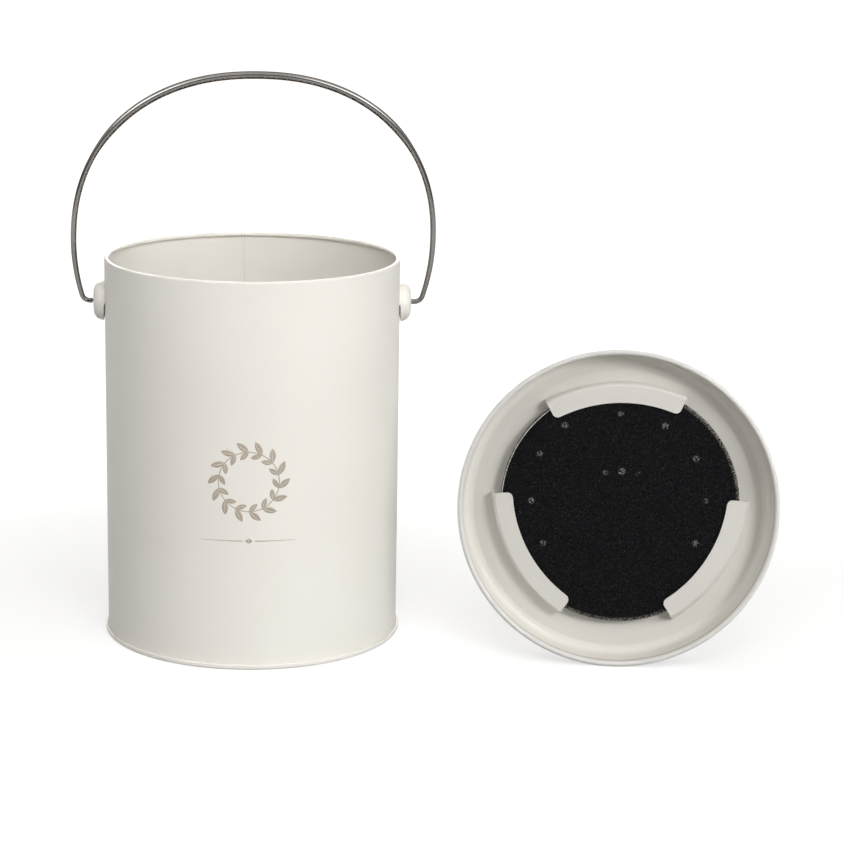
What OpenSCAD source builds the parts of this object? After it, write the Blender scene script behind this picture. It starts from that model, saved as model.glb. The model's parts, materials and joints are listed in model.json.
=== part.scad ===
// Compost caddy with a bail handle and a lift-off, vented lid that holds a charcoal filter.
// The pail stands on its base seam with the bail upright. The lid is off and stands on edge beside it,
// leaning back a little, with its underside and filter turned to the front.
// Millimetres. Origin at the centre of the pail's base seam, +Z up, +X through the right ear and -Y to
// the front.

/* [Pail] */
// Outside diameter of the pail wall
pail_d = 165; // [145:1:185]
// Height of the pail from the surface it stands on to the top of its rim
pail_h = 215; // [180:1:250]
// Thickness of the sheet that the pail and the lid are pressed from
sheet = 0.6; // [0.5:0.1:0.8]
// Outside diameter of the curl that is rolled inward at the rim
curl_d = 2.4; // [2.2:0.1:3.2]
// Angle that the curl turns through
curl_turn = 285; // [250:5:290]
// Width of the welded lap down the inside of the wall
lap_w = 1.8; // [1:0.1:4]
// Thickness of the lap
lap_t = 0.6; // [0.3:0.05:0.7]
// Turn of the lap from the back of the pail, seen from above
lap_turn = 4; // [-30:1:30]

/* [Base] */
// Thickness of the base sheet
base_sheet = 0.6; // [0.5:0.05:0.8]
// Height of the seam that the base folds around the foot of the wall
seam_h = 2.9; // [2.6:0.1:5]
// Rounding of the seam's outer foot
seam_round = 1.2; // [0.8:0.1:1.4]
// Rounding of the seam's inner foot
seam_in_round = 0.5; // [0.4:0.05:0.8]
// Gap between the two layers of the seam's folded hem
hem_gap = 0.04; // [0.02:0.01:0.1]
// Height of the base's outer ring above the surface
base_lift = 3; // [2.4:0.1:5]
// Height that the middle of the base is raised above its outer ring
base_step = 1; // [0.6:0.1:2]
// Width of the slope between the outer ring and the middle
base_step_w = 3; // [2:0.1:5]
// Rounding of the slope's two edges
base_step_round = 3; // [1:0.1:4]
// Width of the base's outer ring
base_ring_w = 16; // [10:0.5:30]
// Rounding between the outer ring and the seam
base_ring_round = 0.9; // [0.5:0.05:1.2]
// Gap between the wall and the seam on each side
seam_fit = 0.15; // [0.1:0.05:0.3]

/* [Ears] */
// Diameter of the pressed cups that carry the bail
ear_d = 23; // [20:0.5:26]
// How far a cup stands out from the wall
ear_out = 6.1; // [5.6:0.1:8]
// Thickness of a cup's sheet
ear_sheet = 0.8; // [0.6:0.1:1]
// Outside radius of a cup's rounded edge
ear_round = 5.2; // [4:0.1:5.5]
// How far a cup's side leans in between the wall and its face
ear_lean = 2; // [1:0.1:2.5]
// Depth of the pivots below the rim
pivot_drop = 25.7; // [20:0.1:40]
// Gap between the wall and the lower half of a cup's edge
ear_gap = 0.7; // [0.2:0.05:1]

/* [Bail] */
// Diameter of the wire in the legs
wire_d = 3.2; // [2.8:0.1:3.8]
// Diameter of the wire where it turns in the ears
pin_d = 2.8; // [2.4:0.1:2.8]
// Diameter of the swelled grip over the top
grip_d = 4.3; // [3.6:0.1:6]
// Distance of the bail's widest part from the pail wall
bail_spread = 17.5; // [17:0.5:22]
// Height of the widest part above the pivots
wide_h = 35.5; // [30:0.5:45]
// Height of the arch above the widest part
arch_h = 90.7; // [80:0.1:110]
// Squareness of the arch, where 2 is an ellipse
arch_power = 2.2; // [2:0.05:2.5]
// Radius of the bow in the legs
leg_r = 110; // [100:1:140]
// Radius of the bend next to each ear
bend_r = 4.5; // [4:0.1:5.5]
// Half of the angle that the swelled grip spans
grip_span = 46; // [35:1:55]
// Angle over which the grip narrows to the legs
grip_blend = 16; // [8:1:25]
// Gap around the wire in the hole of an ear
pin_fit = 0.25; // [0.2:0.05:0.4]
// Diameter of the upset head that keeps the wire in its ear
head_d = 5.4; // [4.6:0.1:7]
// Thickness of the upset head
head_t = 1.2; // [0.8:0.1:1.5]
// Play between the head and the face of the ear
head_play = 0.5; // [0.3:0.1:0.8]

/* [Lid] */
// Gap between the pail wall and the mouth of the lid
lid_fit = 2.9; // [2:0.1:4]
// Outside diameter of the bead rolled outward around the mouth
bead_d = 2.8; // [2.4:0.1:3.4]
// Angle that the bead turns through
bead_turn = 320; // [270:5:330]
// Depth of the lid from its mouth to the top of its shoulder
lid_depth = 16.9; // [15:0.1:20]
// How far the skirt draws in between the mouth and the shoulder
skirt_taper = 1.2; // [0.6:0.1:1.8]
// Radius of the shoulder
shoulder_r = 4.5; // [2.5:0.1:5]
// Width of the shoulder
shoulder_w = 5; // [4.4:0.1:6]
// Width of the slope between the shoulder and the sunk panel
dish_w = 4.5; // [3:0.1:6]
// Rounding between the shoulder and the slope
slope_round = 1; // [0.4:0.1:1.4]
// Rounding of the sunk panel's edge
panel_round = 6; // [1:0.5:8]
// Depth of the sunk panel below the shoulder
dish = 1.1; // [0.8:0.1:2]
// Radius of the ring of outer vents
vent_ring_r = 48; // [42:0.1:50]
// Radius of the ring of inner vents
inner_ring_r = 17.4; // [16:0.1:22]
// Diameter of a vent
vent_d = 3.5; // [2:0.1:4]
// Number of vents in each ring
vents = 12; // [6:1:16]

/* [Clips] */
// Thickness of a clip's sheet
clip_t = 0.8; // [0.6:0.1:1]
// Depth of the clips' faces behind the mouth of the lid
clip_depth = 7.9; // [7:0.1:8.5]
// Distance of the top and left clips' feet from the edge of the sunk panel
clip_inset = 7.3; // [6:0.1:9]
// Radial width of a clip's face
clip_w = 10.3; // [8:0.1:12]
// How far the walls of the top and left clips lean out from face to foot
clip_lean = 1.2; // [0.6:0.1:2]
// How far the wall of the right clip leans out
right_clip_lean = 3.2; // [0.6:0.1:3.5]
// Radial width of a clip's foot
clip_foot = 10; // [7:0.5:12]
// Middle radius of the bends at a clip's foot and face
clip_bend = 1.2; // [0.8:0.1:1.4]
// How much flatter a clip's curve is than a circle about the filter's axis, as the extra radius
clip_flat = 19; // [10:0.5:24]
// Angle that a clip spans about the centre of its own curve
clip_span = 53; // [40:0.5:58]
// Rounding of the face's inner corners
clip_round = 3; // [1:0.1:4]
// Direction of the top clip from the filter's axis, counted from the lid's right
top_clip_turn = 93.4; // [88:0.2:98]
// Direction of the left clip
left_clip_turn = 209.7; // [204:0.2:216]
// Direction of the right clip
right_clip_turn = 329.4; // [324:0.2:336]

/* [Filter] */
// How far the filter and its clips sit to the right of the lid's axis
filter_right = 0.9; // [0:0.1:1.5]
// How far the filter and its clips sit above the lid's axis
filter_up = 1.4; // [0:0.1:1.5]
// Gap between the pad's edge and the walls of the clips
pad_side = 0.3; // [0.2:0.05:2]
// Gap between the pad's faces and the clips
pad_gap = 0.3; // [0.2:0.05:0.5]
// Rounding of the pad's front edge
pad_round = 1.2; // [0.6:0.1:2]
// Width of the hollow in the pad's back around the washer
pad_hollow = 3; // [2.6:0.1:5]

/* [Knob] */
// Height of the knob
knob_h = 24; // [20:0.5:32]
// Diameter of the knob's head
knob_d = 32; // [26:0.5:36]
// Height of the head's rounded top above its widest ring
crown_h = 3.4; // [2.8:0.1:4]
// Diameter of the flat on the head's top
crown_d = 20.5; // [18:0.5:22]
// Height of the head's widest ring
brim_h = 4.3; // [4:0.1:6]
// Height over which the neck widens to the head
flare_h = 4.3; // [3.6:0.1:5]
// Diameter of the knob's neck
neck_d = 11; // [10:0.5:14]
// Diameter of the knob's foot
foot_d = 18; // [15:0.5:24]
// Height of the foot's edge
foot_h = 2.2; // [1.5:0.1:3]
// Height over which the foot draws in to the neck
foot_draw = 2.3; // [1.5:0.1:3]
// Diameter of the knob's screw
screw_d = 4; // [3:0.5:5]
// Length of screw inside the knob
screw_in = 10; // [8:0.5:12]
// Diameter of the screw's head
screw_head_d = 8.5; // [7.5:0.1:10]
// Height of the screw's head
screw_head_h = 1.7; // [1.4:0.1:2]
// Height of the head's edge
screw_edge_h = 0.7; // [0.5:0.05:0.8]
// Diameter of the flat on the screw's head
screw_flat_d = 5.2; // [4:0.1:6]
// Length of each slot of the cross recess
slot_l = 4.8; // [3:0.1:6]
// Width of each slot
slot_w = 0.9; // [0.6:0.1:1.2]
// Depth of the slots
slot_depth = 1; // [0.6:0.1:1.2]
// Diameter of the washer under the screw's head
washer_d = 12; // [10.5:0.5:14]
// Thickness of the washer
washer_t = 0.6; // [0.5:0.1:0.8]
// Gap around the screw in each hole
screw_fit = 0.15; // [0.1:0.05:0.3]

/* [Lid off the pail] */
// Distance of the lid to the right of the pail's wall, from its centre
lid_aside = 117.4; // [112:0.1:160]
// Distance of the lid's centre in front of the pail's axis
lid_ahead = 74; // [40:0.5:110]
// Angle that the lid leans back
lid_lean = 4.7; // [0:0.1:12]
// Angle that the lid turns to the left from facing straight ahead
lid_turn = 6; // [0:0.5:15]

/* [Hidden] */

coat = "#E6E1D6";
steel = "#8F8D89";
felt = "#202024";

turned = 96;        // faces around a large turned form
small_turned = 40;  // faces around a small one
steps = 4;          // chords along a bend in a sheet
fine_steps = 7;     // chords along a wide bend
curl_steps = 14;    // chords around a curl or a bead
arch_steps = 30;    // chords from a leg of the bail to its top
wire_sides = 16;    // faces around the wire
wire_inset = 0.02;  // keeps the faceted wire just inside the turned pins
sharp = 0.01;       // rounding of an edge that looks sharp
shy = 0.001;        // how far two roundings stay short of meeting
cut = 1;            // how far a cutter reaches past what it cuts

pail_r = pail_d / 2;
wall_r = pail_r - sheet / 2;
seam_r = pail_r + seam_fit + base_sheet / 2;
seam_out_r = seam_r + base_sheet + hem_gap;
seam_in_r = pail_r - sheet - seam_fit - base_sheet / 2;
pivot_z = pail_h - pivot_drop;

ear_face_x = pail_r + ear_out;
ear_in_x = ear_face_x - ear_sheet;
ear_sag = pail_r - sqrt(pail_r * pail_r - ear_d * ear_d / 4);

half_w = pail_r + bail_spread;
leg_angle = asin((wide_h - bend_r) / (leg_r - bend_r));
bend_x = half_w - leg_r + (leg_r - bend_r) * cos(leg_angle);
pin_tip_x = ear_in_x - head_play - head_t;

mouth_r = pail_r + lid_fit + sheet / 2;
bead_c_r = mouth_r + (bead_d - sheet) / 2;
shoulder_z = -lid_depth + sheet / 2;
crease_r = mouth_r - skirt_taper - shoulder_w;
panel_z = shoulder_z + dish;
panel_in_z = panel_z + sheet / 2;
panel_out_z = panel_z - sheet / 2;

clip_face_z = -clip_depth - clip_t / 2;
clip_foot_z = panel_in_z + clip_t / 2;
clip_wall_r = crease_r - dish_w - clip_inset - clip_lean;
clip_face_r = clip_wall_r + clip_t / 2 - clip_w;

pad_r = clip_wall_r - clip_t / 2 - pad_side;
pad_back_z = panel_in_z + clip_t + pad_gap;
pad_front_z = -clip_depth - clip_t - pad_gap;
head_top_z = panel_in_z + washer_t + screw_head_h;

lid_x = pail_r + lid_aside;
lid_z = bead_c_r * cos(lid_lean) + bead_d / 2 * (1 + sin(lid_lean));

function unit(v) = v / norm(v);
function left(v) = [-v.y, v.x];
function reversed(list) = [for (i = [len(list) - 1 : -1 : 0]) list[i]];

// Points along an arc about c
function arc(c, r, from, to, n) =
    [for (i = [0 : n]) let (a = from + (to - from) * i / n) c + r * [cos(a), sin(a)]];

// The corner b = [x, y, radius] between a and c, as the points of its rounding
function corner(a, b, c, n) =
    let (
        u = unit([b.x - a.x, b.y - a.y]),
        v = unit([c.x - b.x, c.y - b.y]),
        heading = atan2(u.y, u.x),
        turn = atan2(cross(u, v), u * v),
        side = sign(turn),
        centre = [b.x, b.y] - b.z * tan(abs(turn) / 2) * u + side * b.z * left(u)
    )
    [for (i = [0 : n]) let (h = heading + turn * i / n) centre + side * b.z * [sin(h), -cos(h)]];

// An open line through corners [x, y, radius]
function bent(p, n = steps) =
    let (last = len(p) - 1)
    concat(
        [[p[0].x, p[0].y]],
        [for (i = [1 : last - 1]) each corner(p[i - 1], p[i], p[i + 1], n)],
        [[p[last].x, p[last].y]]
    );

// A line moved sideways by d, with mitred corners
function beside(line, d) =
    let (last = len(line) - 1)
    [for (i = [0 : last])
        let (
            u = unit(line[min(i + 1, last)] - line[min(i, last - 1)]),
            v = unit(line[max(i, 1)] - line[max(i - 1, 0)])
        )
        line[i] + d * (left(u) + left(v)) / (1 + u * v)];

// The section of a sheet of thickness t that follows a line
function section(line, t) = concat(beside(line, t / 2), reversed(beside(line, -t / 2)));

// Wall rolled from one sheet, with its rim curled inward and its foot in the base seam
module pail_shell() {
    curl_r = (curl_d - sheet) / 2;
    foot_z = base_sheet + seam_fit;
    curl = arc([wall_r - curl_r, pail_h - curl_d / 2], curl_r, 0, curl_turn, curl_steps);
    lap_angle = lap_w / wall_r * 180 / PI;
    lap_h = pail_h - curl_d - base_lift - base_sheet - 2 * seam_fit;
    color(coat) {
        rotate_extrude($fn = turned) polygon(section(concat([[wall_r, foot_z]], curl), sheet));
        rotate([0, 0, 90 + lap_turn - lap_angle / 2])
            translate([0, 0, base_lift + base_sheet + seam_fit])
                rotate_extrude(angle = lap_angle, $fn = turned)
                    translate([pail_r - sheet - lap_t, 0]) square([lap_t + sheet / 2, lap_h]);
    }
}

// Base pressed from one sheet: its hem folds around the foot of the wall, and its middle is raised
module pail_base() {
    ring_z = base_lift + base_sheet / 2;
    ring_in_r = seam_in_r - base_ring_w;
    hem_z = seam_h - base_sheet / 2;
    fold_r = (seam_out_r - seam_r) / 2 - shy;
    line = bent([
        [seam_r, 2 * base_sheet],
        [seam_r, hem_z, fold_r],
        [seam_out_r, hem_z, fold_r],
        [seam_out_r, base_sheet / 2, seam_round - base_sheet / 2],
        [seam_in_r, base_sheet / 2, seam_in_round],
        [seam_in_r, ring_z, base_ring_round],
        [ring_in_r, ring_z, base_step_round],
        [ring_in_r - base_step_w, ring_z + base_step, base_step_round],
        [0, ring_z + base_step]
    ]);
    color(coat) rotate_extrude($fn = turned) polygon(section(line, base_sheet));
}

// Pressed cup whose hole carries one end of the bail. The upper half of its edge is welded to the wall,
// and the lower half is cut back a little from it
module ear() {
    hole_r = pin_d / 2 + pin_fit;
    side_r = (ear_d - ear_sheet) / 2;
    face_x = ear_face_x - ear_sheet / 2;
    root = ear_sag + cut;
    line = bent([
        [hole_r, face_x],
        [side_r - ear_lean, face_x, ear_round - ear_sheet / 2],
        [side_r + ear_lean * root / ear_out, pail_r - root]
    ], fine_steps);
    color(coat) translate([0, 0, pivot_z]) difference() {
        rotate([0, 90, 0]) rotate_extrude($fn = turned) polygon(section(line, ear_sheet));
        cylinder(r = pail_r, h = ear_d, $fn = 4 * turned);
        translate([0, 0, -ear_d]) cylinder(r = pail_r + ear_gap, h = ear_d, $fn = 4 * turned);
    }
}

module ear_right() {
    ear();
}

module ear_left() {
    mirror([1, 0, 0]) ear();
}

// Middle line of the right half of the bail as [x, height above the pivots], from the ear to the top
function bail_line() =
    let (
        bend_turn = 90 - leg_angle,
        arch_c = [0, wide_h]
    )
    concat(
        [[bend_x - cut, 0]],
        arc([bend_x, bend_r], bend_r, -90, bend_turn - 90, fine_steps),
        [for (i = [1 : fine_steps]) let (a = -leg_angle * (1 - i / fine_steps))
            [half_w - leg_r, wide_h] + leg_r * [cos(a), sin(a)]],
        [for (i = [1 : arch_steps]) let (a = 90 * i / arch_steps)
            arch_c + [half_w * pow(max(cos(a), 0), 2 / arch_power), arch_h * pow(sin(a), 2 / arch_power)]]
    );

// Radius of the wire at a point of the bail
function wire_r(p) =
    let (
        from_top = atan2(abs(p.x) / half_w, (p.y - wide_h) / arch_h),
        narrowed = min(max((from_top - grip_span) / grip_blend, 0), 1),
        low = min(max(1 - p.y / wide_h, 0), 1),
        body = grip_d + (wire_d - grip_d) * (1 - cos(180 * narrowed)) / 2
    )
    (p.y > wide_h ? body : wire_d + (pin_d - wire_d) * low) / 2;

// Wire arch from ear to ear, swelled into a grip over the top, with its ends upset inside the ears
module bail() {
    half = bail_line();
    mirrored = [for (i = [len(half) - 2 : -1 : 0]) [-half[i].x, half[i].y]];
    line = concat(half, mirrored);
    last = len(line) - 1;
    rings = [for (i = [0 : last])
        let (
            u = unit(line[min(i + 1, last)] - line[max(i - 1, 0)]),
            n = left(u),
            r = wire_r(line[i]) - wire_inset
        )
        for (k = [0 : wire_sides - 1])
            let (a = 360 * k / wire_sides)
            [line[i].x + r * cos(a) * n.x, r * sin(a), line[i].y + r * cos(a) * n.y]];
    walls = [for (i = [0 : last - 1], k = [0 : wire_sides - 1])
        let (
            here = i * wire_sides,
            next = here + wire_sides,
            k2 = (k + 1) % wire_sides
        )
        [here + k, here + k2, next + k2, next + k]];
    first_end = [for (k = [wire_sides - 1 : -1 : 0]) k];
    last_end = [for (k = [0 : wire_sides - 1]) last * wire_sides + k];
    color(steel) translate([0, 0, pivot_z]) {
        polyhedron(points = rings, faces = concat([first_end], walls, [last_end]), convexity = 4);
        for (s = [0, 1]) mirror([s, 0, 0]) translate([pin_tip_x, 0, 0]) rotate([0, 90, 0]) {
            cylinder(d = pin_d, h = bend_x - pin_tip_x, $fn = small_turned);
            cylinder(d = head_d, h = head_t, $fn = small_turned);
        }
    }
}

// Sets a piece of the lid, drawn with its mouth up at z = 0, on edge beside the pail
module stood_beside() {
    translate([lid_x, -lid_ahead, lid_z]) rotate([90 - lid_lean, 0, -lid_turn]) children();
}

// Sets the filter or a clip, drawn about the filter's axis, in the lid
module in_lid() {
    stood_beside() translate([filter_right, filter_up, 0]) children();
}

// Lid pressed from one sheet: a bead rolled outward, a tapered skirt, a round shoulder and a sunk panel
// with two rings of vents and the hole for the knob's screw
module lid_shell() {
    hole_r = screw_d / 2 + screw_fit;
    bead = arc([bead_c_r, -bead_d / 2], (bead_d - sheet) / 2, 180 - bead_turn, 180, curl_steps);
    line = concat(bead, bent([
        [mouth_r, -bead_d],
        [mouth_r - skirt_taper, shoulder_z, shoulder_r],
        [crease_r, shoulder_z, slope_round],
        [crease_r - dish_w, panel_z, panel_round],
        [hole_r, panel_z]
    ]));
    color(coat) stood_beside() difference() {
        rotate_extrude($fn = turned) polygon(section(line, sheet));
        for (ring = [vent_ring_r, inner_ring_r], i = [0 : vents - 1])
            rotate([0, 0, 90 + 360 * i / vents]) translate([ring, 0, panel_z - cut])
                cylinder(d = vent_d, h = 2 * cut, $fn = small_turned);
    }
}

// Clip that holds the filter: a foot welded to the panel, a leaning wall and a face with rounded corners
module clip(turn, lean) {
    wall_r = clip_wall_r + clip_flat;
    foot_r = wall_r + lean;
    face_r = clip_face_r + clip_flat;
    line = bent([
        [foot_r - clip_foot, clip_foot_z],
        [foot_r, clip_foot_z, clip_bend],
        [wall_r, clip_face_z, clip_bend],
        [face_r, clip_face_z]
    ]);
    color(coat) in_lid() rotate([0, 0, turn]) translate([-clip_flat, 0, 0]) difference() {
        rotate([0, 0, -clip_span / 2])
            rotate_extrude(angle = clip_span, $fn = turned) polygon(section(line, clip_t));
        for (s = [0, 1]) mirror([0, s, 0]) rotate([0, 0, clip_span / 2])
            translate([face_r, 0, clip_face_z - clip_t]) difference() {
                translate([-cut, -clip_round, 0]) cube([clip_round + cut, clip_round + cut, 2 * clip_t]);
                translate([clip_round, -clip_round, -cut])
                    cylinder(r = clip_round, h = 2 * clip_t + 2 * cut, $fn = small_turned);
            }
    }
}

module clip_top() {
    clip(top_clip_turn, clip_lean);
}

module clip_left() {
    clip(left_clip_turn, clip_lean);
}

module clip_right() {
    clip(right_clip_turn, right_clip_lean);
}

// Round felt pad behind the clips, hollowed at its back over the head of the knob's screw
module filter_pad() {
    hollow_r = washer_d / 2 + pad_hollow;
    hollow_z = head_top_z + pad_gap;
    outline = concat(
        bent([
            [0, pad_front_z],
            [pad_r, pad_front_z, pad_round],
            [pad_r, pad_back_z]
        ]),
        [[hollow_r, pad_back_z], [hollow_r, hollow_z], [0, hollow_z]]
    );
    color(felt) in_lid() rotate_extrude($fn = turned) polygon(outline);
}

// Turned knob on the outside of the lid
module lid_knob() {
    brim_top = knob_h - crown_h;
    brim_low = brim_top - brim_h;
    foot_round = 0.8;
    draw_round = 2;
    flare_round = 4;
    brim_round = 2;
    crown_round = 5;
    outline = bent([
        [0, 0],
        [foot_d / 2, 0, sharp],
        [foot_d / 2, -foot_h, foot_round],
        [neck_d / 2, -foot_h - foot_draw, draw_round],
        [neck_d / 2, flare_h - brim_low, flare_round],
        [knob_d / 2, -brim_low, brim_round],
        [knob_d / 2, -brim_top, brim_round],
        [crown_d / 2, -knob_h, crown_round],
        [0, -knob_h]
    ]);
    color(steel) stood_beside() translate([0, 0, panel_out_z]) difference() {
        rotate_extrude($fn = turned) polygon(outline);
        translate([0, 0, -screw_in - cut])
            cylinder(d = screw_d + 2 * screw_fit, h = screw_in + 2 * cut, $fn = small_turned);
    }
}

// Screw through the panel into the knob, with a low domed head and a cross recess
module knob_screw() {
    length = sheet + washer_t + screw_in;
    edge_round = 0.5;
    dome_round = 1.4;
    color(steel) stood_beside() translate([0, 0, panel_in_z + washer_t]) difference() {
        union() {
            translate([0, 0, -length])
                cylinder(d = screw_d, h = length + screw_edge_h / 2, $fn = small_turned);
            rotate_extrude($fn = small_turned) polygon(bent([
                [0, 0],
                [screw_head_d / 2, 0, sharp],
                [screw_head_d / 2, screw_edge_h, edge_round],
                [screw_flat_d / 2, screw_head_h, dome_round],
                [0, screw_head_h]
            ]));
        }
        for (a = [0, 90]) rotate([0, 0, a])
            translate([-slot_l / 2, -slot_w / 2, screw_head_h - slot_depth])
                cube([slot_l, slot_w, slot_depth + cut]);
    }
}

// Flat washer between the panel and the screw's head
module knob_washer() {
    color(steel) stood_beside() translate([0, 0, panel_in_z]) difference() {
        cylinder(d = washer_d, h = washer_t, $fn = small_turned);
        translate([0, 0, -cut])
            cylinder(d = screw_d + 2 * screw_fit, h = washer_t + 2 * cut, $fn = small_turned);
    }
}

pail_shell();
pail_base();
ear_left();
ear_right();
bail();
lid_shell();
clip_top();
clip_left();
clip_right();
filter_pad();
lid_knob();
knob_screw();
knob_washer();
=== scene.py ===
"""Looks of the compost caddy: coated steel pail with a polished wire bail, and its lid with a charcoal felt."""
import json
import math
import random

import bmesh
import bpy
from mathutils import Matrix, Vector


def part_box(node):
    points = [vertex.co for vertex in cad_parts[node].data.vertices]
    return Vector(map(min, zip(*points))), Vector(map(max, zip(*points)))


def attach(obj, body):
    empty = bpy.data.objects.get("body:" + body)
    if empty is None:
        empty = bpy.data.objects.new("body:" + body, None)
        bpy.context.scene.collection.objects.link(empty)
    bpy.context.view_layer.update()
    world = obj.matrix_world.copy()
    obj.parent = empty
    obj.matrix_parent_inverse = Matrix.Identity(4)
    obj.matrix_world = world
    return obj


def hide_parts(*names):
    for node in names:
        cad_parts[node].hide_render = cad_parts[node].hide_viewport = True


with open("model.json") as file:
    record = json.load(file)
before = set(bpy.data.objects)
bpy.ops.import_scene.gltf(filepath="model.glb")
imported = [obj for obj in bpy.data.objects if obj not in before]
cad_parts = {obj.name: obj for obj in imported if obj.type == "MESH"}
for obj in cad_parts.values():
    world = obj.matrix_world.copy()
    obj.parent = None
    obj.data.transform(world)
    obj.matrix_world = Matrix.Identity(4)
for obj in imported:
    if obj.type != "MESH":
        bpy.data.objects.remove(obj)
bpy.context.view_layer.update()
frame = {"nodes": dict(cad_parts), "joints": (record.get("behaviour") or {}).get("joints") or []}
NODES = frame["nodes"]
MM = 0.001

# The pail, from the frame; its sheet; its welded lap's turn from the back and half width
PAIL_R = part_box("pail_shell")[1].x
PIVOT_Z = next(joint["pos_m"][2] for joint in frame["joints"] if joint["name"] == "bail_swing")
PAIL_SHEET = 0.6 * MM
LAP_TURN, LAP_HALF = math.radians(4.3), 0.9 * MM

# The lid stands on edge: its mouth leans back and turns to the left.
# Its own axes point to its right, up and out of its mouth.
LID_LEAN = math.radians(4.7)
LID_TURN = math.radians(6)
LID_TURNED = Matrix.Rotation(-LID_TURN, 4, "Z") @ Matrix.Rotation(math.pi / 2 - LID_LEAN, 4, "X")
LID_AXES = [LID_TURNED @ Vector(axis) for axis in ((1, 0, 0), (0, 1, 0), (0, 0, 1))]
PAD_CENTRE = (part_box("filter_pad")[0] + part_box("filter_pad")[1]) / 2
SCREW_CENTRE = (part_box("knob_washer")[0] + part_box("knob_washer")[1]) / 2
LID_EDGE = max((NODES["lid_shell"].matrix_world @ v.co - PAD_CENTRE).dot(LID_AXES[2])
               for v in NODES["lid_shell"].data.vertices)
BEAD_D = 2.8 * MM

# The filter's own sizes
PAD_R = 65.7 * MM
PAD_HALF = 2.5 * MM
PAD_RIM_R = 65.1 * MM       # radius of the painted highlight line along the pad's rim at its upper left, for the light that the rim catches there
FRAY = 0.3 * MM
PAD_POINTS = 900            # points in each ring of the pad
# Half of the pad's section: share of its radius, share of its half thickness
PAD_SECTION = ((0, 1), (0.25, 1), (0.5, 1), (0.75, 1), (0.9, 1), (0.97, 1), (0.985, 0.98), (0.995, 0.93), (1, 0.8),
               (1, 0.2), (1, -0.6), (0.99, -0.95), (0.97, -1), (0.5, -1), (0, -1))
# Painted glints, which stand for daylight from the vents shining through the felt: millimetres to the right and up,
# strength
GLINTS = ((47.2, 3.2, 0.35), (41.1, 26.7, 0.75), (23.5, 44.3, 0.8), (-1, 50.4, 0.5), (-31.3, 43.3, 0.75),
          (-44.7, 26.9, 0.65), (-48.7, 0.9, 0.65), (-41.6, -22.8, 0.65), (42.1, -20.8, 0.7),
          (-8.3, 17.5, 0.45), (0.7, 18.6, 1), (9.7, 17.5, 0.15))

# The bail's own sizes, as in the part's source
HALF_W = PAIL_R + 17.5 * MM
WIDE_H = 35.5 * MM          # height above the pivots where the bail is widest
ARCH_H = 90.7 * MM
ARCH_POWER = 2.2
LEG_R = 110 * MM
BEND_R = 4.5 * MM
BEND_STEPS, LEG_STEPS, ARCH_STEPS = 12, 15, 90
WIRE_D, PIN_D, GRIP_D = 3.2 * MM, 2.8 * MM, 4.3 * MM
GRIP_SPAN, GRIP_BLEND = 46, 16      # degrees from the top
WIRE_INSET = 0.02 * MM      # how much smaller the dressed wire's radius is than the solid's
WIRE_SIDES = 40
ARCH_LEAN = 0.019           # how far the hand-formed arch leans to the right, as a share of its height
MARKS_H, MARKS_STRETCH = 30 * MM, 4 * MM       # the drawing marks' centre over the pivots, and their length a radian
EAR_SHEET, HEAD_PLAY = 0.8 * MM, 0.5 * MM
HEAD_D, HEAD_T = 5.4 * MM, 1.2 * MM
PIN_TIP_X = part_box("ear_right")[1].x - (EAR_SHEET + HEAD_PLAY + HEAD_T)

# The print on the pail: its turn from the front, the height of its middle and the thickness of its ink
MOTIF_TURN = math.radians(-1.2)
MOTIF_Z = 106 * MM
INK = 0.05 * MM
INK_FOOT = 0.004 * MM       # how far the ink's underside stands off the wall
WREATH_R, STEM = 16.5 * MM, 0.55 * MM
LEAF_PAIRS = 14
LEAVES = ((math.radians(52), 8.2 * MM, 3.4 * MM), (math.radians(133), 6.4 * MM, 2.8 * MM))  # heading, length, width
RULE_V, RULE_HALF, RULE_GAP, RULE_THICK = -33 * MM, 26 * MM, 3.4 * MM, 0.32 * MM
LOZENGE_W, LOZENGE_H, LOZENGE_SLIT = 2.2 * MM, 1.5 * MM, 0.15 * MM

# The floor: its grey as the camera sees it and as it throws light up, and how much it shines by itself near the part.
# Further back and around, over these distances, it goes to plain white.
FLOOR_SEEN, FLOOR_BOUNCE = 0.45, 0.28
FLOOR_FILL = 0.65
SWEEP_START, SWEEP_END = 0.08, 0.55
FAR_START, FAR_END = 0.8, 1.6

# The room: its plain light from all round, and what metal mirrors of its front, ceiling and back wall
WORLD_LIGHT = 0.2
WORLD_TINT = (1, 0.92, 0.86, 1)
ROOM_DIM = 0.18
ROOM_CEILING = 1.3
ROOM_WALL = 0.6
WALL_TINT = (1, 0.88, 0.78, 1)
WHITE = (1, 1, 1, 1)

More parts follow.
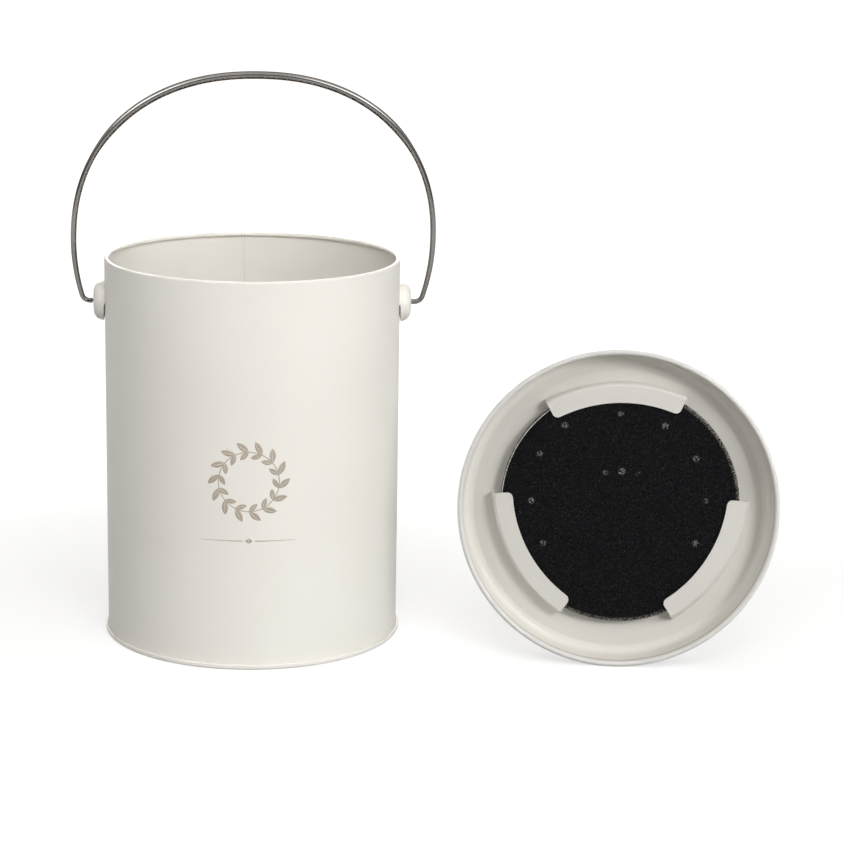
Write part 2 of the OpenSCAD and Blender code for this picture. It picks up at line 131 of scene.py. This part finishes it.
# The point that each group's lamps face
AIMS = {
    "floor": Vector((0.09, -0.03, 0)),
    "pail": Vector((0, 0, 0.11)),
    "lid": Vector((0.2, -0.074, 0.09)),
    "bail": Vector((0, 0, 0.25)),
}
LAMPS = (
    # name, what it lights, azimuth, elevation, distance, width and height in metres, power
    ("floor_key", "floor", 30, 20, 1.6, 0.9, 0.9, 9.6),
    ("floor_front", "floor", 0, 48, 1.6, 0.9, 0.9, 12.2),
    ("floor_top", "floor", 0, 88, 1.6, 0.9, 0.9, 4),
    ("pail_key", "pail", 42, 10, 3, 1.7, 1.7, 32),
    ("pail_front", "pail", 7, 42, 3, 1.7, 1.7, 59),
    ("pail_left", "pail", -67, 0, 2.2, 1.2, 1.2, 9),
    ("pail_right", "pail", 90, 0, 3, 1.7, 1.7, 12),
    ("pail_back", "pail", 180, 25, 3, 1.7, 1.7, 66),
    ("pail_low", "pail", -20, -25, 1.6, 0.9, 0.9, 10),
    ("lid_key", "lid", 36, 24, 1.6, 0.5, 0.5, 12.4),
    ("lid_side", "lid", 62, 22, 1.6, 0.6, 0.6, 4.5),
    ("lid_front", "lid", 0, 55, 1.6, 0.65, 0.65, 1.6),
    ("lid_left", "lid", -60, 28, 1.6, 0.65, 0.65, 4.2),
    ("lid_back", "lid", 180, 25, 3, 1.7, 1.7, 66),
    ("bail_left", "bail", -38, 38, 1.6, 0.9, 0.6, 8.5),
    ("bail_right", "bail", 34, 38, 1.6, 0.9, 0.6, 8.5),
)

# The camera: its place, its turns to the right, down and about its own axis, and its lens
CAMERA_AT = (6.8 * MM, -1433.3 * MM, 462.4 * MM)
CAMERA_YAW, CAMERA_PITCH, CAMERA_ROLL = math.radians(3.567), math.radians(13.426), math.radians(0.9025)
FOCAL_PIXELS, FRAME_PIXELS, SENSOR_MM = 2593.5, 844, 36


# ------------------------------------------------------------------ materials

def srgb(r, g, b):
    """A colour written as a screen shows it, 0 to 255, as the linear colour that a shader takes."""
    def linear(c):
        c /= 255
        return c / 12.92 if c <= 0.04045 else ((c + 0.055) / 1.055) ** 2.4
    return linear(r), linear(g), linear(b), 1


def grey(level):
    """A neutral linear colour."""
    return level, level, level, 1


class Nodes:
    """A material's node tree, with short calls that add a node and link its inputs."""

    def __init__(self, name):
        self.material = bpy.data.materials.new(name)
        self.material.use_nodes = True
        self.tree = self.material.node_tree
        self.shader = self.tree.nodes["Principled BSDF"]

    @classmethod
    def of_tree(cls, tree, shader):
        made = cls.__new__(cls)
        made.tree, made.shader = tree, shader
        return made

    def add(self, kind, **inputs):
        node = self.tree.nodes.new(kind)
        for key, value in inputs.items():
            if hasattr(node, key) and key not in node.inputs:
                setattr(node, key, value)
            else:
                self.put(node.inputs[key.replace("_", " ")], value)
        return node

    def put(self, socket, value):
        if isinstance(value, bpy.types.NodeSocket):
            self.tree.links.new(value, socket)
        else:
            socket.default_value = value

    def set(self, **inputs):
        for key, value in inputs.items():
            self.put(self.shader.inputs[key.replace("_", " ")], value)

    def place(self):
        return self.add("ShaderNodeTexCoord").outputs["Object"]

    def noise(self, vector, scale, detail=2, rough=0.5):
        node = self.add("ShaderNodeTexNoise", Vector=vector, Scale=scale, Detail=detail, Roughness=rough)
        return node.outputs["Fac"]

    def span(self, value, low, high, new_low, new_high):
        node = self.add("ShaderNodeMapRange")
        for socket, v in zip(node.inputs, (value, low, high, new_low, new_high)):
            self.put(socket, v)
        return node.outputs["Result"]

    def math(self, operation, *values):
        node = self.add("ShaderNodeMath")
        node.operation = operation
        for socket, v in zip(node.inputs, values):
            self.put(socket, v)
        return node.outputs["Value"]

    def length(self, x, y):
        return self.math("SQRT", self.math("ADD", self.math("MULTIPLY", x, x), self.math("MULTIPLY", y, y)))

    def vector(self, operation, a, b, result="Vector"):
        node = self.add("ShaderNodeVectorMath", operation=operation)
        self.put(node.inputs[0], a)
        self.put(node.inputs[1], b)
        return node.outputs[result]

    def mix(self, factor, a, b):
        node = self.add("ShaderNodeMix")
        node.data_type = "RGBA"
        for name, v in (("Factor_Float", factor), ("A_Color", a), ("B_Color", b)):
            self.put(next(s for s in node.inputs if s.identifier == name), v)
        return next(s for s in node.outputs if s.identifier == "Result_Color")

    def bump(self, height, strength, distance, normal=None):
        node = self.add("ShaderNodeBump", Height=height, Strength=strength, Distance=distance)
        if normal is not None:
            self.put(node.inputs["Normal"], normal)
        return node.outputs["Normal"]


def lap_shadow_lines(m, place, tone):
    """Painted shade: a fine grey shadow line along each of the two edges of the welded lap, down the inside of the
    wall.
    """
    split = m.add("ShaderNodeSeparateXYZ", Vector=place)
    x, y = split.outputs["X"], split.outputs["Y"]
    turned = m.math("ARCTAN2", m.math("MULTIPLY", x, -1), y)
    from_lap = m.math("MULTIPLY", m.math("SUBTRACT", turned, LAP_TURN), PAIL_R)
    inside = m.span(m.length(x, y), PAIL_R - PAIL_SHEET - 0.15 * MM, PAIL_R - PAIL_SHEET - 0.05 * MM, 1, 0)
    # A painted shadow line at each edge of the lap, deeper at one edge than at the other
    for edge, depth in ((LAP_HALF, 0.3), (-LAP_HALF, 0.2)):
        off = m.math("ABSOLUTE", m.math("SUBTRACT", from_lap, edge))
        crease = m.math("MULTIPLY", m.span(off, 0.22 * MM, 0.42 * MM, depth, 0), inside)
        tone = m.mix(crease, tone, srgb(160, 154, 143))
    return tone


def bead_shade_and_highlight(m, place, tone):
    """Painted shade in the crease behind the lid's bead, and a painted highlight that makes the bead itself a little
    lighter.
    """
    depth = m.math("SUBTRACT", LID_EDGE, in_lid(m, PAD_CENTRE)[2])
    from_crease = m.math("ABSOLUTE", m.math("SUBTRACT", depth, BEAD_D + 0.6 * MM))
    # Painted shade: greyer in the crease behind the bead
    tone = m.mix(m.span(from_crease, 0.5 * MM, 1.6 * MM, 0.62, 0), tone, srgb(178, 172, 160))
    # Painted highlight: lighter on the bead itself
    return m.mix(m.span(depth, BEAD_D - 0.5 * MM, BEAD_D - 0.2 * MM, 1, 0), tone, srgb(243, 242, 238))


def cream_coat(name="cream_coat_look", lines=None):
    """Satin powder coat: a slow drift of tone, a faint orange peel and a fine grain, with painted shade and highlight
    lines where a lines function is given.
    """
    m = Nodes(name)
    place = m.place()
    drift = m.noise(place, 9, 3)
    grain = m.noise(place, 1400, 2)
    tone = m.mix(m.span(drift, 0.35, 0.65, 0, 1), srgb(233, 230, 223), srgb(237, 235, 228))
    tone = m.mix(m.span(grain, 0.62, 0.8, 0, 0.12), tone, srgb(205, 199, 188))
    # Painted shade and highlight lines, where given
    if lines:
        tone = lines(m, place, tone)
    peel = m.bump(m.noise(place, 330, 2), 0.05, 0.1 * MM)
    m.set(Base_Color=tone, Roughness=m.span(m.noise(place, 60, 3), 0.3, 0.7, 0.4, 0.47),
          Normal=m.bump(grain, 0.03, 0.05 * MM, peel))
    return m.material


def motif_print():
    """Matt one-colour print, a little uneven."""
    m = Nodes("motif_print_look")
    place = m.place()
    mottle = m.span(m.noise(place, 900, 3), 0.35, 0.65, 0, 1)
    m.set(Base_Color=m.mix(mottle, srgb(180, 169, 153), srgb(188, 177, 162)), Roughness=0.6)
    return m.material


def bail_steel():
    """Drawn wire: fine marks along the arch, under a polish, with edges that go brown."""
    m = Nodes("bail_steel_look")
    split = m.add("ShaderNodeSeparateXYZ", Vector=m.place())
    x, y, z = (split.outputs[i] for i in range(3))
    up = m.math("SUBTRACT", z, PIVOT_Z + MARKS_H)
    around = m.math("MULTIPLY", m.math("ARCTAN2", x, up), MARKS_STRETCH)
    along = m.add("ShaderNodeCombineXYZ", X=around, Y=y, Z=m.length(x, up)).outputs[0]
    marks = m.noise(along, 2100, 2, 0.6)
    smear = m.noise(m.place(), 45, 3)
    m.set(Base_Color=m.mix(m.span(smear, 0.35, 0.65, 0, 1), srgb(126, 125, 123), srgb(140, 138, 135)),
          Metallic=1, Roughness=m.span(marks, 0.3, 0.7, 0.14, 0.2), Normal=m.bump(marks, 0.03, 0.03 * MM),
          Specular_Tint=srgb(190, 142, 106))
    return m.material


def in_lid(m, centre):
    """The place in the lid's own axes, to its right, up and out of its mouth, counted from a centre."""
    from_centre = m.vector("SUBTRACT", m.place(), centre)
    return [m.vector("DOT_PRODUCT", from_centre, axis, result="Value") for axis in LID_AXES]


def turned_steel(name, low, high, ring_scale):
    """Steel with rings left by turning, around the lid's own axis."""
    m = Nodes(name)
    x, y, z = in_lid(m, SCREW_CENTRE)
    rings = m.add("ShaderNodeCombineXYZ", X=m.length(x, y), Y=z).outputs[0]
    marks = m.noise(rings, ring_scale, 2, 0.6)
    m.set(Base_Color=m.mix(marks, low, high), Metallic=1, Roughness=m.span(marks, 0.3, 0.7, 0.24, 0.36),
          Normal=m.bump(marks, 0.15, 0.03 * MM))
    return m.material


def charcoal_felt():
    """Needle-punched carbon felt: black fibre clumps with paler flecks, a fluffy edge, painted glints over the vents
    and a painted highlight line along its rim at the upper left.
    """
    m = Nodes("charcoal_felt_look")
    place = m.place()
    clump = m.noise(place, 620, 4, 0.75)
    fleck = m.noise(place, 1700, 2, 0.6)
    tone = m.mix(m.span(clump, 0.36, 0.66, 0, 1), srgb(2, 2, 4), srgb(20, 20, 23))
    tone = m.mix(m.span(fleck, 0.57, 0.72, 0, 0.42), tone, srgb(88, 86, 87))

    x, y, _ = in_lid(m, PAD_CENTRE)
    # Painted light: pale specks over the vents, standing for daylight shining through the felt
    sparks = m.span(m.noise(place, 1900, 1, 0.4), 0.5, 0.62, 0, 1)
    for right, up, shine in GLINTS:
        off = m.length(m.math("SUBTRACT", x, right * MM), m.math("SUBTRACT", y, up * MM))
        lit = m.span(off, 0.9 * MM, (1.5 + shine) * MM, shine, 0)
        tone = m.mix(m.math("MULTIPLY", lit, sparks), tone, srgb(190, 190, 192))

    out = m.length(x, y)
    # Painted highlight: a broken pale line along the rim at the upper left, where the rim catches the light
    from_rim = m.math("ABSOLUTE", m.math("SUBTRACT", out, PAD_RIM_R))
    upper_left = m.span(m.math("SUBTRACT", m.math("MULTIPLY", y, 0.45), x), 50 * MM, 58 * MM, 0, 1)
    broken = m.span(m.noise(place, 900, 2), 0.35, 0.5, 0.4, 1)
    line = m.math("MULTIPLY", m.span(from_rim, 0.16 * MM, 0.36 * MM, 1, 0), broken)
    tone = m.mix(m.math("MULTIPLY", line, upper_left), tone, srgb(218, 216, 211))
    tufts = m.span(m.noise(place, 1500, 2), 0.44, 0.6, 0, 1)
    fluff = m.math("MULTIPLY", m.span(out, PAD_R - 2.2 * MM, PAD_R, 0, 1), tufts)
    tone = m.mix(m.math("MULTIPLY", fluff, m.math("SUBTRACT", 0.9, upper_left)), tone, srgb(186, 180, 170))

    height = m.math("ADD", clump, m.math("MULTIPLY", fleck, 0.5))
    m.set(Base_Color=tone, Roughness=0.95, Normal=m.bump(height, 0.6, 0.4 * MM),
          Specular_IOR_Level=0.12, Sheen_Weight=0.05, Sheen_Roughness=0.5)
    return m.material


# ------------------------------------------------------------------ pieces

def piece(name, bm, material, body):
    """Turns a bmesh in the row frame into an object that rides on a body."""
    mesh = bpy.data.meshes.new(name)
    bmesh.ops.recalc_face_normals(bm, faces=bm.faces)
    bm.to_mesh(mesh)
    bm.free()
    for polygon in mesh.polygons:
        polygon.use_smooth = True
    made = bpy.data.objects.new(name, mesh)
    bpy.context.scene.collection.objects.link(made)
    made.data.materials.append(material)
    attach(made, body)
    return made


def tube(rings, around):
    """A closed smooth tube through rings of (centre, side, up, radius), with flat ends."""
    bm = bmesh.new()
    made = []
    for centre, side, up, radius in rings:
        turns = (2 * math.pi * k / around for k in range(around))
        made.append([bm.verts.new(centre + radius * (math.cos(t) * side + math.sin(t) * up)) for t in turns])
    for a, b in zip(made, made[1:]):
        for k in range(around):
            j = (k + 1) % around
            bm.faces.new((a[k], a[j], b[j], b[k]))
    bm.faces.new(made[0])
    bm.faces.new(made[-1])
    return bm


def bail_half():
    """Middle line of the bail's right half as (x, height above the pivots), from its head to the top."""
    leg = math.asin((WIDE_H - BEND_R) / (LEG_R - BEND_R))
    bend_x = HALF_W - LEG_R + (LEG_R - BEND_R) * math.cos(leg)
    line = [(bend_x - 1.5 * MM, 0)]
    for i in range(BEND_STEPS + 1):
        a = -math.pi / 2 + (math.pi / 2 - leg) * i / BEND_STEPS
        line.append((bend_x + BEND_R * math.cos(a), BEND_R + BEND_R * math.sin(a)))
    for i in range(1, LEG_STEPS + 1):
        a = -leg * (1 - i / LEG_STEPS)
        line.append((HALF_W - LEG_R + LEG_R * math.cos(a), WIDE_H + LEG_R * math.sin(a)))
    for i in range(1, ARCH_STEPS + 1):
        a = math.pi / 2 * i / ARCH_STEPS
        line.append((HALF_W * max(math.cos(a), 0) ** (2 / ARCH_POWER),
                     WIDE_H + ARCH_H * math.sin(a) ** (2 / ARCH_POWER)))
    return line


def wire_radius(x, z):
    """Radius of the wire at a point of the bail: thin in the ears, swelled over the top."""
    if z <= WIDE_H:
        low = min(max(1 - z / WIDE_H, 0), 1)
        return (WIRE_D + (PIN_D - WIRE_D) * low) / 2
    from_top = math.degrees(math.atan2(abs(x) / HALF_W, (z - WIDE_H) / ARCH_H))
    narrowed = min(max((from_top - GRIP_SPAN) / GRIP_BLEND, 0), 1)
    return (GRIP_D + (WIRE_D - GRIP_D) * (1 - math.cos(math.pi * narrowed)) / 2) / 2


def bail_wire(material):
    """The bail as one smooth round wire, with its upset heads inside the ears."""
    half = bail_half()
    line = half + [(-x, z) for x, z in reversed(half[:-1])]
    rings = []
    for i, (x, z) in enumerate(line):
        before, after = line[max(i - 1, 0)], line[min(i + 1, len(line) - 1)]
        along = Vector((after[0] - before[0], 0, after[1] - before[1])).normalized()
        side = Vector((-along.z, 0, along.x))
        centre = Vector((x + ARCH_LEAN * z, 0, z + PIVOT_Z))
        rings.append((centre, side, Vector((0, 1, 0)), wire_radius(x, z) - WIRE_INSET))
    tip, head = PIN_TIP_X, PIN_TIP_X + HEAD_T
    for s, end in ((1, 0), (-1, len(rings))):
        side, up = Vector((0, 0, s)), Vector((0, 1, 0))
        stub = [(tip, HEAD_D / 2 - 0.3 * MM), (tip + 0.25 * MM, HEAD_D / 2), (head - 0.05 * MM, HEAD_D / 2),
                (head, HEAD_D / 2 - 0.05 * MM), (head, PIN_D / 2 - WIRE_INSET)]
        stub = [(Vector((s * x, 0, PIVOT_Z)), side, up, r) for x, r in stub]
        rings[end:end] = stub if s == 1 else stub[::-1]
    made = piece("bail_wire", tube(rings, WIRE_SIDES), material, "bail")
    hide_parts("bail")
    return made


# ------------------------------------------------------------------ printed motif

def on_wall(u, v, out):
    """A point of the print: u to the right and v up from its middle, laid round the pail's wall."""
    a = MOTIF_TURN + u / PAIL_R
    r = PAIL_R + out
    return Vector((r * math.sin(a), -r * math.cos(a), MOTIF_Z + v))


def leaf(bm, u, v, heading, length, width):
    """A lens-shaped leaf from (u, v) along a heading, with a bare midrib left as a slit towards its foot."""
    n = 10
    along = [i / n for i in range(n + 1)]
    cos_h, sin_h = math.cos(heading), math.sin(heading)

    def at(t, side):
        x, y = t * length, side * width / 2 * math.sin(math.pi * t) ** 0.8
        return u + x * cos_h - y * sin_h, v + x * sin_h + y * cos_h

    for s in (1, -1):
        edge = [at(t, s) for t in along]
        rib = [at(t, s * 0.09 * (1 - t)) for t in along]
        strip(bm, edge, rib)


def strip(bm, one, other):
    """A thin closed band of ink between two lines of as many points."""
    rows = []
    for line in (one, other):
        for out in (INK_FOOT, INK):
            rows.append([bm.verts.new(on_wall(*p, out)) for p in line])
    a_low, a_top, b_low, b_top = rows
    for i in range(len(one) - 1):
        bm.faces.new((a_top[i], a_top[i + 1], b_top[i + 1], b_top[i]))
        bm.faces.new((a_low[i], a_low[i + 1], b_low[i + 1], b_low[i]))
        bm.faces.new((a_low[i], a_low[i + 1], a_top[i + 1], a_top[i]))
        bm.faces.new((b_low[i], b_low[i + 1], b_top[i + 1], b_top[i]))
    for i in (0, len(one) - 1):
        bm.faces.new((a_low[i], a_top[i], b_top[i], b_low[i]))


def motif(material):
    """A wreath of paired leaves on a thin ring, over a thin rule with a lozenge at its middle."""
    bm = bmesh.new()
    turns = [2 * math.pi * i / 144 for i in range(145)]
    outer, inner = (WREATH_R + STEM / 2, WREATH_R - STEM / 2)
    strip(bm, [(outer * math.cos(t), outer * math.sin(t)) for t in turns],
          [(inner * math.cos(t), inner * math.sin(t)) for t in turns])
    for i in range(LEAF_PAIRS):
        t = 2 * math.pi * (i + 0.5) / LEAF_PAIRS
        foot = WREATH_R * math.cos(t), WREATH_R * math.sin(t)
        for heading, length, width in LEAVES:
            leaf(bm, *foot, t + heading, length, width)
    for s in (1, -1):
        us = [s * (RULE_GAP + (RULE_HALF - RULE_GAP) * i / 20) for i in range(21)]
        thick = [RULE_THICK * (1 - 0.7 * i / 20) for i in range(21)]
        strip(bm, [(u, RULE_V + h) for u, h in zip(us, thick)], [(u, RULE_V - h) for u, h in zip(us, thick)])
        rise = [(1 - abs(i) / 6, RULE_V + LOZENGE_H * i / 6) for i in range(-6, 7)]
        strip(bm, [(s * LOZENGE_W * w, v) for w, v in rise], [(s * LOZENGE_SLIT * w, v) for w, v in rise])
    bmesh.ops.remove_doubles(bm, verts=bm.verts, dist=0.001 * MM)
    return piece("leaf_print", bm, material, "pail")


# ------------------------------------------------------------------ filter

def felt_pad(material):
    """Round pad with a soft rounded edge, frayed a little, and an uneven face."""
    rng = random.Random(4)
    bm = bmesh.new()
    rings = []
    for r, h in PAD_SECTION:
        if r == 0:
            rings.append([bm.verts.new((0, 0, h * PAD_HALF))])
            continue
        ring = []
        for i in range(PAD_POINTS):
            a = 2 * math.pi * i / PAD_POINTS
            radius = PAD_R * r + (FRAY * (rng.random() - 0.6) if r > 0.99 else 0)
            height = PAD_HALF * h - (FRAY * rng.random() if h > 0.9 and r > 0.9 else 0)
            ring.append(bm.verts.new((radius * math.cos(a), radius * math.sin(a), height)))
        rings.append(ring)
    for a, b in zip(rings, rings[1:]):
        for i in range(PAD_POINTS):
            j = (i + 1) % PAD_POINTS
            if len(a) == 1:
                bm.faces.new((a[0], b[i], b[j]))
            elif len(b) == 1:
                bm.faces.new((a[j], a[i], b[0]))
            else:
                bm.faces.new((a[i], b[i], b[j], a[j]))
    bm.transform(Matrix.Translation(PAD_CENTRE) @ LID_TURNED)
    pad = piece("filter_felt", bm, material, "lid")
    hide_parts("filter_pad")
    return pad


# ------------------------------------------------------------------ set, lamps and camera

def backdrop():
    """Pale floor that shows white to the camera and to metal, and keeps the object's shadow."""
    bpy.ops.mesh.primitive_plane_add(size=30, location=(0, 5, 0))
    floor = bpy.context.object
    floor.name = "floor"
    m = Nodes("floor_look")
    m.set(Specular_IOR_Level=0)
    path = m.add("ShaderNodeLightPath")
    m.set(Base_Color=m.mix(path.outputs["Is Camera Ray"], grey(FLOOR_BOUNCE), grey(FLOOR_SEEN)), Roughness=0.9)
    seen = m.math("MAXIMUM", path.outputs["Is Camera Ray"],
                  m.math("MAXIMUM", path.outputs["Is Glossy Ray"], path.outputs["Is Transmission Ray"]))
    spot = m.add("ShaderNodeSeparateXYZ", Vector=m.add("ShaderNodeNewGeometry").outputs["Position"])
    behind = m.span(spot.outputs["Y"], SWEEP_START, SWEEP_END, 0, 1)
    around = m.span(m.length(spot.outputs["X"], spot.outputs["Y"]), FAR_START, FAR_END, 0, 1)
    fill = m.span(m.math("MAXIMUM", behind, around), 0, 1, FLOOR_FILL, 1)
    m.set(Emission_Color=WHITE, Emission_Strength=m.math("MULTIPLY", seen, fill))
    floor.data.materials.append(m.material)
    return floor


def studio():
    """Plain light from all round, white to the camera, with a room in it for metal to mirror."""
    world = bpy.data.worlds.new("studio")
    bpy.context.scene.world = world
    world.use_nodes = True
    w = Nodes.of_tree(world.node_tree, world.node_tree.nodes["Background"])
    path = w.add("ShaderNodeLightPath")
    seen = w.math("MAXIMUM", path.outputs["Is Camera Ray"], path.outputs["Is Transmission Ray"])
    # Parts of the room by the direction that a ray looks in: Z is up and Y is away behind the part
    aim = w.add("ShaderNodeSeparateXYZ", Vector=w.add("ShaderNodeTexCoord").outputs["Generated"])
    front = w.span(aim.outputs["Z"], 0.2, 0.75, ROOM_DIM, ROOM_CEILING)
    behind = w.span(aim.outputs["Y"], 0.05, 0.25, 0, 1)
    above = w.span(aim.outputs["Z"], 0.02, 0.15, 0, 1)
    backdrop = w.math("MULTIPLY", behind, w.math("SUBTRACT", 1, above))
    wall = w.math("MULTIPLY", behind, above)
    reflected = w.math("MAXIMUM", w.span(wall, 0, 1, front, ROOM_WALL), backdrop)
    room = w.math("ADD", w.math("MULTIPLY", path.outputs["Is Glossy Ray"], reflected),
                  w.math("MULTIPLY", w.math("SUBTRACT", 1, path.outputs["Is Glossy Ray"]), WORLD_LIGHT))
    tint = w.mix(path.outputs["Is Glossy Ray"], WORLD_TINT, w.mix(wall, WHITE, WALL_TINT))
    w.set(Strength=w.math("MAXIMUM", seen, room), Color=w.mix(seen, tint, WHITE))


def softbox(name, lights, azimuth, elevation, away, width, height, power):
    """Area lamp that faces what it lights, with its azimuth counted from the front towards the right."""
    lamp = bpy.data.lights.new(name, "AREA")
    lamp.shape = "RECTANGLE"
    lamp.size, lamp.size_y = width, height
    lamp.energy = power
    made = bpy.data.objects.new(name, lamp)
    bpy.context.scene.collection.objects.link(made)
    a, e = math.radians(azimuth), math.radians(elevation)
    back = Vector((math.sin(a) * math.cos(e), -math.cos(a) * math.cos(e), math.sin(e)))
    made.location = AIMS[lights] + back * away
    made.rotation_mode = "QUATERNION"
    made.rotation_quaternion = back.to_track_quat("Z", "Y")
    made.light_linking.receiver_collection = LIT[lights]
    if elevation < 0:       # stands for light thrown up by the floor, so only the piece itself stops it
        made.light_linking.blocker_collection = LIT[lights]


def lit_group(name, pieces):
    """A group of pieces that a lamp can be kept to."""
    group = bpy.data.collections.new(name)
    for p in pieces:
        group.objects.link(p)
    return group


def camera():
    """The photograph's camera: 18.5 degrees wide, 1.43 m in front of the pail, with a slight roll."""
    yaw, pitch, roll = CAMERA_YAW, CAMERA_PITCH, CAMERA_ROLL
    data = bpy.data.cameras.new("camera")
    data.sensor_width = SENSOR_MM
    data.lens = data.sensor_width * FOCAL_PIXELS / FRAME_PIXELS
    made = bpy.data.objects.new("camera", data)
    bpy.context.scene.collection.objects.link(made)
    forward = Vector((math.sin(yaw) * math.cos(pitch), math.cos(yaw) * math.cos(pitch), -math.sin(pitch)))
    level = Vector((math.cos(yaw), -math.sin(yaw), 0))
    right = math.cos(roll) * level + math.sin(roll) * level.cross(forward)
    up = right.cross(forward)
    made.matrix_world = Matrix.Translation(CAMERA_AT) @ Matrix((right, up, -forward)).transposed().to_4x4()
    bpy.context.scene.camera = made


# ------------------------------------------------------------------ assembly

def coat(material, *names):
    """Gives CAD nodes a material and returns them."""
    for name in names:
        NODES[name].material_slots[0].material = material
    return [NODES[name] for name in names]


camera()
floor = backdrop()
studio()
bpy.context.scene.view_settings.view_transform = "Standard"
# With the light tree on, a linked lamp draws a false edge down the wall where its light ends
bpy.context.scene.cycles.use_light_tree = False

cream = cream_coat()
# The pail's shell coat carries the painted shadow lines at its lap
pail = coat(cream_coat("pail_coat_look", lap_shadow_lines), "pail_shell")
pail += coat(cream, "pail_base", "ear_left", "ear_right")
# The lid's shell coat carries painted shade in the crease behind its bead and a painted highlight on the bead
lid = coat(cream_coat("lid_coat_look", bead_shade_and_highlight), "lid_shell")
lid += coat(cream, "clip_top", "clip_left", "clip_right")
lid += coat(turned_steel("knob_look", srgb(165, 163, 160), srgb(190, 188, 184), 2500), "lid_knob")
lid += coat(turned_steel("screw_look", srgb(150, 149, 147), srgb(178, 177, 174), 3500), "knob_screw", "knob_washer")
bail = bail_wire(bail_steel())
pail.append(motif(motif_print()))
lid.append(felt_pad(charcoal_felt()))

LIT = {
    "pail": lit_group("pail_lit", pail),
    "bail": lit_group("bail_lit", [bail]),
    "floor": lit_group("floor_lit", [floor]),
    "lid": lit_group("lid_lit", lid),
}
for lamp in LAMPS:
    softbox(*lamp)
